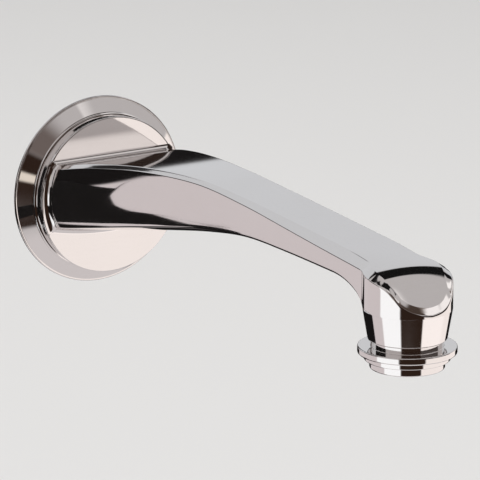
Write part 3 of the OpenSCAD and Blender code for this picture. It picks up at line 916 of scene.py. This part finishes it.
    def cut_grub_hole(self, skin: bpy.types.Object) -> None:
        """Cuts the grub screw's hole through the neck's underside.

        Args:
            skin: The body's skin.
        """
        radius, place, top, bottom = self.grub_hole
        bm = bmesh.new()
        bmesh.ops.create_cone(
            bm, cap_ends=True, segments=48, radius1=radius * MM, radius2=radius * MM, depth=(top - bottom) * MM)
        bmesh.ops.translate(bm, verts=bm.verts, vec=Vector((0, -place, (top + bottom) / 2)) * MM)
        cutter = finish_mesh("grub_cutter", bm)
        cut = skin.modifiers.new("grub_hole", "BOOLEAN")
        cut.operation = "DIFFERENCE"
        cut.solver = "EXACT"
        cut.object = cutter
        graph = bpy.context.evaluated_depsgraph_get()
        mesh = bpy.data.meshes.new_from_object(skin.evaluated_get(graph))
        skin.modifiers.clear()
        skin.data = mesh
        bpy.data.objects.remove(cutter)

    def add_collar(self, skin: bpy.types.Object) -> None:
        """Turns the tapered collar and joins it to the skin.

        Args:
            skin: The body's skin.
        """
        bm = bmesh.new()
        bm.from_mesh(skin.data)
        drop = -self.collar_drop
        profile = rounded([
            (self.bore_r, self.collar_z + 1.0, 0.0), (self.nose_r - 0.6, self.collar_z + 1.0, 0.0),
            (self.nose_r - 0.004, self.collar_z, 0.0), (self.collar_r, drop, 0.35), (self.bore_r + 0.35, drop, 0.0),
            (self.bore_r, drop + 0.35, 0.0),
        ])
        turned(bm, profile, Axis.OUTLET, 192, self.reach)
        bmesh.ops.remove_doubles(bm, verts=bm.verts, dist=WELD)
        bmesh.ops.recalc_face_normals(bm, faces=bm.faces)
        for face in bm.faces:
            face.smooth = True
        bm.to_mesh(skin.data)
        bm.free()
        skin.data.set_sharp_from_angle(angle=math.radians(38))

    def build(self, nickel: bpy.types.Material) -> bpy.types.Object:
        """Builds and dresses the body.

        Args:
            nickel: Finish of the body.

        Returns:
            The piece.
        """
        skin = self.build_skin()
        self.cut_grub_hole(skin)
        self.add_collar(skin)
        return dress(skin, nickel, Slot.NICKEL, "spout_body")


# Turned pieces


@dataclass
class WallFlange:
    """Round wall flange with a rolled rim, a conical step and a bead."""

    rim_r: float = 35.0
    rim_gap: float = 0.25
    rim_t: float = 1.4
    depth: float = 6.5
    front_r: float = 29.25
    bore_r: float = 26.1
    bead_r: float = 0.6
    recess: tuple[float, float, float] = (27.1, 33.0, 1.5)

    def build(self, nickel: bpy.types.Material) -> bpy.types.Object:
        """Builds and dresses the flange.

        Args:
            nickel: Finish of the flange.

        Returns:
            The piece.
        """
        inner, outer, top = self.recess
        bead_at = self.depth - self.bead_r - 0.1
        bead = [(self.front_r + self.bead_r * math.cos(math.radians(a)), bead_at + self.bead_r * math.sin(math.radians(a)))
                for a in range(-60, 75, 12)]
        lower = rounded([
            (inner, self.rim_gap, 0.0), (inner, top, 0.0), (outer, top, 0.0), (outer, self.rim_gap, 0.1),
            (self.rim_r, self.rim_gap, 0.45), (self.rim_r, self.rim_t, 0.5), (self.rim_r - 0.8, self.rim_t, 0.25),
            (self.front_r + 0.45, self.depth - 1.4, 0.12), (self.front_r + 0.33, self.depth - 1.32, 0.0),
        ], closed=False)
        upper = rounded([
            (self.front_r, self.depth, 0.0), (self.bore_r, self.depth, 0.15), (self.bore_r, self.rim_gap, 0.15),
            (inner, self.rim_gap, 0.0),
        ], closed=False)
        bm = bmesh.new()
        turned(bm, lower + bead[1:] + upper[:-1], Axis.WALL, 224)
        return dress(finish_mesh("flange_skin", bm), nickel, Slot.NICKEL, "wall_flange")


@dataclass
class Aerator:
    """Stepped housing under the collar, with the seat of the sieves inside it."""

    reach: float = 209.5
    collar_bottom: float = -5.1
    neck: Pair = (12.4, 2.4)
    rim: Pair = (16.85, 2.5)
    step: Pair = (14.6, 2.2)
    foot: Pair = (12.75, 2.9)
    mouth_r: float = 9.4
    thread_r: float = 12.0
    thread_l: float = 7.3
    thread_pitch: float = 1.0
    insert_r: float = 10.3
    seat_r: float = 10.8
    lip: float = 1.4

    def build(self, nickel: bpy.types.Material) -> bpy.types.Object:
        """Builds and dresses the housing.

        Args:
            nickel: Finish of the housing.

        Returns:
            The piece.
        """
        rim_top = self.collar_bottom - self.neck[1]
        step_top = rim_top - self.rim[1]
        foot_top = step_top - self.step[1]
        bottom = foot_top - self.foot[1]
        top = self.collar_bottom + self.thread_l
        profile = rounded([
            (self.mouth_r, bottom, 0.35), (self.foot[0], bottom, 0.4), (self.foot[0], foot_top, 0.1),
            (self.step[0], foot_top, 0.3), (self.step[0], step_top, 0.1), (self.rim[0], step_top, 0.55),
            (self.rim[0], rim_top, 0.4), (self.neck[0], rim_top, 0.15), (self.neck[0], self.collar_bottom - 0.1, 0.1), (self.thread_r - 0.2, self.collar_bottom - 0.1, 0.0),
            (self.thread_r - 0.5, self.collar_bottom, 0.1), (self.thread_r - 0.5, top - 0.3, 0.2),
            (self.thread_r - 0.9, top, 0.0), (self.seat_r, top, 0.0), (self.seat_r, top - 2.0, 0.0),
            (self.insert_r, top - 2.0, 0.0), (self.insert_r, bottom + self.lip, 0.0),
            (self.mouth_r, bottom + self.lip, 0.0),
        ])
        bm = bmesh.new()
        turned(bm, profile, Axis.OUTLET, 176, self.reach)
        housing = finish_mesh("aerator_skin", bm)
        return dress(housing, nickel, Slot.NICKEL, "aerator_housing")


def dress_nodes(materials: dict[Slot, bpy.types.Material]) -> None:
    """Gives each CAD node that stays its finish.

    Args:
        materials: Finish of each slot.
    """
    slots = {
        Slot.RUBBER: ("wall_gasket", "flange_o_ring", "nipple_o_ring_rear", "nipple_o_ring_front", "aerator_washer", "flow_ring"),
        Slot.BRASS: ("inlet_nipple",),
        Slot.FIBRE: ("fibre_washer",),
        Slot.ACETAL: ("jet_plate", "aerator_insert", "stream_straightener"),
        Slot.STEEL: ("grub_screw", "filter_dome", "mesh_screen_upper", "mesh_screen_lower"),
    }
    for slot, names in slots.items():
        for name in names:
            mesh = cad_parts[name].data
            mesh.materials.clear()
            mesh.materials.append(materials[slot])
            LOG.info("%s: CAD solid in %s", name, materials[slot].name)


# Studio


@dataclass(frozen=True)
class Panel:
    """A light or dark panel of the studio, given by where it stands as seen from the object."""

    azimuth: float
    half_width: float
    elevation: float
    half_height: float
    colour: Point
    soft: float = 3.0


@dataclass
class Studio:
    """Floor, world, lamps and camera."""

    target: Point = (7.19, -90.0, -0.03)
    distance: float = 1800.0
    azimuth: float = -31.39
    elevation: float = 15.29
    lens: float = 380.3
    floor_z: float = -420.0
    pale: Point = (0.80, 0.79, 0.78)
    tent: Point = (0.56, 0.54, 0.54)
    # Distance of the dark cards from the middle plane, and their outlines as (distance behind the wall face, height)
    card_side: float = -60.0
    cards: tuple[tuple[Pair, ...], ...] = (
        ((34, -47.5), (13, -40.5), (-4, -35), (-15, -31), (-24, -27), (-40, -24), (-40, -16), (-36, -12.8),
         (-29, -14.2), (-22.3, -14.7), (-19.3, -10), (-17.8, -1), (-18.8, 6), (-21.5, 14), (34, 14)),
        ((56, 60), (110, 60), (110, 130), (56, 130)),
    )
    panels: tuple[Panel, ...] = (
        # Under the object
        Panel(0, 180, -90, 48, (0.715, 0.68, 0.685), 10),
        # Behind the wall side and left of it: dark
        Panel(160, 54, -18, 26, (0.010, 0.009, 0.009), 5),
        Panel(-142, 38, -14, 39, (0.010, 0.009, 0.009), 2),
        # The light cloth that the arm's side and the collar's left see
        Panel(-141, 37, -12.3, 7.8, (0.715, 0.66, 0.67), 1),
        Panel(-123, 19, -26, 10, (0.715, 0.66, 0.67), 1),
        # Low left and right: white
        Panel(-80, 27, -26, 18, (1.18, 1.21, 1.23), 2),
        Panel(59, 50, -26, 15, (1.09, 1.02, 0.985), 1.5),
        Panel(59, 50, -34, 7, (1.20, 1.13, 1.10), 1.5),
        Panel(95, 14, -8, 11, (1.09, 1.02, 0.985), 1),
        # Right of the camera: dark
        Panel(42, 36, 4, 14, (0.030, 0.020, 0.016), 2),
        # Round the camera: dark brown, lighter above, with one small light
        Panel(-24, 33, 34, 13, (0.17, 0.14, 0.13), 7),
        Panel(-21, 31, -7, 31, (0.030, 0.017, 0.012), 2.5),
        Panel(-47.5, 4, 5, 3.5, (0.90, 0.82, 0.72), 1.5),
        # What the chamfer in front sees: dark, then white
        Panel(13, 21, 42, 9, (0.07, 0.05, 0.04), 1.5),
        Panel(39, 7, 47, 3.5, (0.20, 0.165, 0.145), 1.5),
        Panel(45, 11, 39, 4.5, (1.10, 1.07, 1.06), 1.5),
        Panel(62, 9, 30.5, 6, (1.10, 1.07, 1.06), 1.5),
        # Overhead: the light behind, the gap, and the white that fades across the facet
        Panel(158, 52, 23.6, 18.4, (0.68, 0.70, 0.725), 0.8),
        Panel(144, 66, 61, 19, (0.008, 0.008, 0.008), 2),
        Panel(34, 14, 64, 7, (1.15, 1.13, 1.12), 3),
    )

    def build_floor(self) -> bpy.types.Object:
        """Builds the pale floor, which only the reflections leave out.

        Returns:
            The floor.
        """
        bm = bmesh.new()
        bmesh.ops.create_grid(bm, x_segments=2, y_segments=2, size=9.0)
        bmesh.ops.translate(bm, verts=bm.verts, vec=(0, 0, self.floor_z * MM))
        floor = finish_mesh("studio_floor", bm)
        if floor.data.polygons[0].normal.z < 0:
            floor.data.flip_normals()
        material = bpy.data.materials.new("pale_floor")
        material.use_nodes = True
        sheet = Sheet(material.node_tree)
        shader = material.node_tree.nodes["Principled BSDF"]
        shader.inputs["Base Color"].default_value = rgba(self.pale)
        shader.inputs["Roughness"].default_value = 0.9
        shader.inputs["Specular IOR Level"].default_value = 0.1
        # Seen from below, the floor lets the view through
        clear = sheet.add("ShaderNodeBsdfTransparent")
        mixed = sheet.add("ShaderNodeMixShader")
        sheet.feed(mixed.inputs[0], sheet.add("ShaderNodeNewGeometry").outputs["Backfacing"])
        sheet.feed(mixed.inputs[1], shader.outputs[0])
        sheet.feed(mixed.inputs[2], clear.outputs[0])
        output = next(n for n in material.node_tree.nodes if n.type == "OUTPUT_MATERIAL")
        sheet.feed(output.inputs["Surface"], mixed.outputs[0])
        floor.data.materials.append(material)
        floor.visible_glossy = False
        floor.visible_transmission = False
        return floor

    def build_cards(self) -> None:
        """Builds the dark cards beside the wall, which only reflections see."""
        material = bpy.data.materials.new("dark_cloth")
        material.use_nodes = True
        shader = material.node_tree.nodes["Principled BSDF"]
        shader.inputs["Base Color"].default_value = (0.006, 0.005, 0.005, 1.0)
        shader.inputs["Roughness"].default_value = 1.0
        for number, outline in enumerate(self.cards):
            bm = bmesh.new()
            verts = [
                bmesh.ops.create_vert(bm, co=Vector((self.card_side, y, z)) * MM)["vert"][0] for y, z in outline
            ]
            bmesh.ops.contextual_create(bm, geom=verts)
            card = finish_mesh(f"dark_card_{number}", bm)
            card.data.materials.append(material)
            for kind in ("camera", "diffuse", "transmission", "shadow", "volume_scatter"):
                setattr(card, "visible_" + kind, False)

    def build_world(self) -> None:
        """Builds the world: pale all round, with its panels in reflections."""
        world = bpy.data.worlds.new("studio")
        bpy.context.scene.world = world
        world.use_nodes = True
        world.node_tree.nodes.clear()
        sheet = Sheet(world.node_tree)
        ray = sheet.add("ShaderNodeSeparateXYZ")
        sheet.feed(ray.inputs[0], sheet.add("ShaderNodeTexCoord").outputs["Generated"])
        x, y, z = ray.outputs
        to_degrees = 180 / math.pi
        azimuth = sheet.math("MULTIPLY", sheet.math("ARCTAN2", x, sheet.math("MULTIPLY", y, -1.0)), to_degrees)
        elevation = sheet.math("MULTIPLY", sheet.math("ARCSINE", z), to_degrees)
        colour: object = rgba(self.tent)
        for panel in self.panels:
            sideways = sheet.math("ABSOLUTE", sheet.math("WRAP", sheet.math("SUBTRACT", azimuth, float(panel.azimuth)), 180.0, -180.0))
            height = sheet.math("ABSOLUTE", sheet.math("SUBTRACT", elevation, float(panel.elevation)))
            inside = sheet.math(
                "MULTIPLY",
                sheet.ramp(sideways, panel.half_width - panel.soft, panel.half_width + panel.soft, 1.0, 0.0),
                sheet.ramp(height, panel.half_height - panel.soft, panel.half_height + panel.soft, 1.0, 0.0))
            colour = sheet.mix(inside, colour, rgba(panel.colour))
        path = sheet.add("ShaderNodeLightPath")
        mirrored = sheet.math("ADD", path.outputs["Is Glossy Ray"], path.outputs["Is Transmission Ray"], clamp=True)
        plain = sheet.mix(path.outputs["Is Camera Ray"], (0.62, 0.62, 0.62, 1.0), (0.86, 0.86, 0.86, 1.0))
        background = sheet.add("ShaderNodeBackground")
        sheet.feed(background.inputs["Color"], sheet.mix(mirrored, plain, colour))
        sheet.feed(sheet.add("ShaderNodeOutputWorld").inputs["Surface"], background.outputs[0])

    def build_lamps(self) -> None:
        """Builds the soft lamps."""
        for name, place, size, power in (
            ("key", (-1.3, -1.2, 1.9), 1.6, 26.0), ("fill", (1.7, -1.4, 1.2), 1.8, 12.0), ("back", (0.6, 1.6, 1.5), 1.6, 10.0),
        ):
            lamp = bpy.data.lights.new(name, "AREA")
            lamp.energy = power
            lamp.size = size
            stand = bpy.data.objects.new(name, lamp)
            stand.location = place
            aim = Vector((0, -0.1, 0)) - stand.location
            stand.rotation_euler = aim.to_track_quat("-Z", "Y").to_euler()
            stand.visible_glossy = False
            bpy.context.scene.collection.objects.link(stand)

    def build_camera(self) -> None:
        """Builds the camera at the photograph's viewing angle."""
        az, el = math.radians(self.azimuth), math.radians(self.elevation)
        back = Vector((math.sin(az) * math.cos(el), -math.cos(az) * math.cos(el), math.sin(el)))
        data = bpy.data.cameras.new("camera")
        data.sensor_width = 36.0
        data.lens = self.lens
        data.clip_end = 50.0
        camera = bpy.data.objects.new("camera", data)
        camera.location = (Vector(self.target) + back * self.distance) * MM
        camera.rotation_euler = back.to_track_quat("Z", "Y").to_euler()
        bpy.context.scene.collection.objects.link(camera)
        bpy.context.scene.camera = camera

    def build(self) -> None:
        """Sets up the whole studio."""
        self.build_floor()
        self.build_cards()
        self.build_world()
        self.build_lamps()
        self.build_camera()
        bpy.context.scene.view_settings.view_transform = "Standard"


def main() -> None:
    """Builds the studio and the part's pieces in order."""
    logging.basicConfig(level=logging.INFO, format="%(name)s: %(message)s")
    Studio().build()
    materials = Finishes().by_slot()
    SpoutBody().build(materials[Slot.NICKEL])
    WallFlange().build(materials[Slot.NICKEL])
    Aerator().build(materials[Slot.NICKEL])
    dress_nodes(materials)


if __name__ == "__main__":
    main()
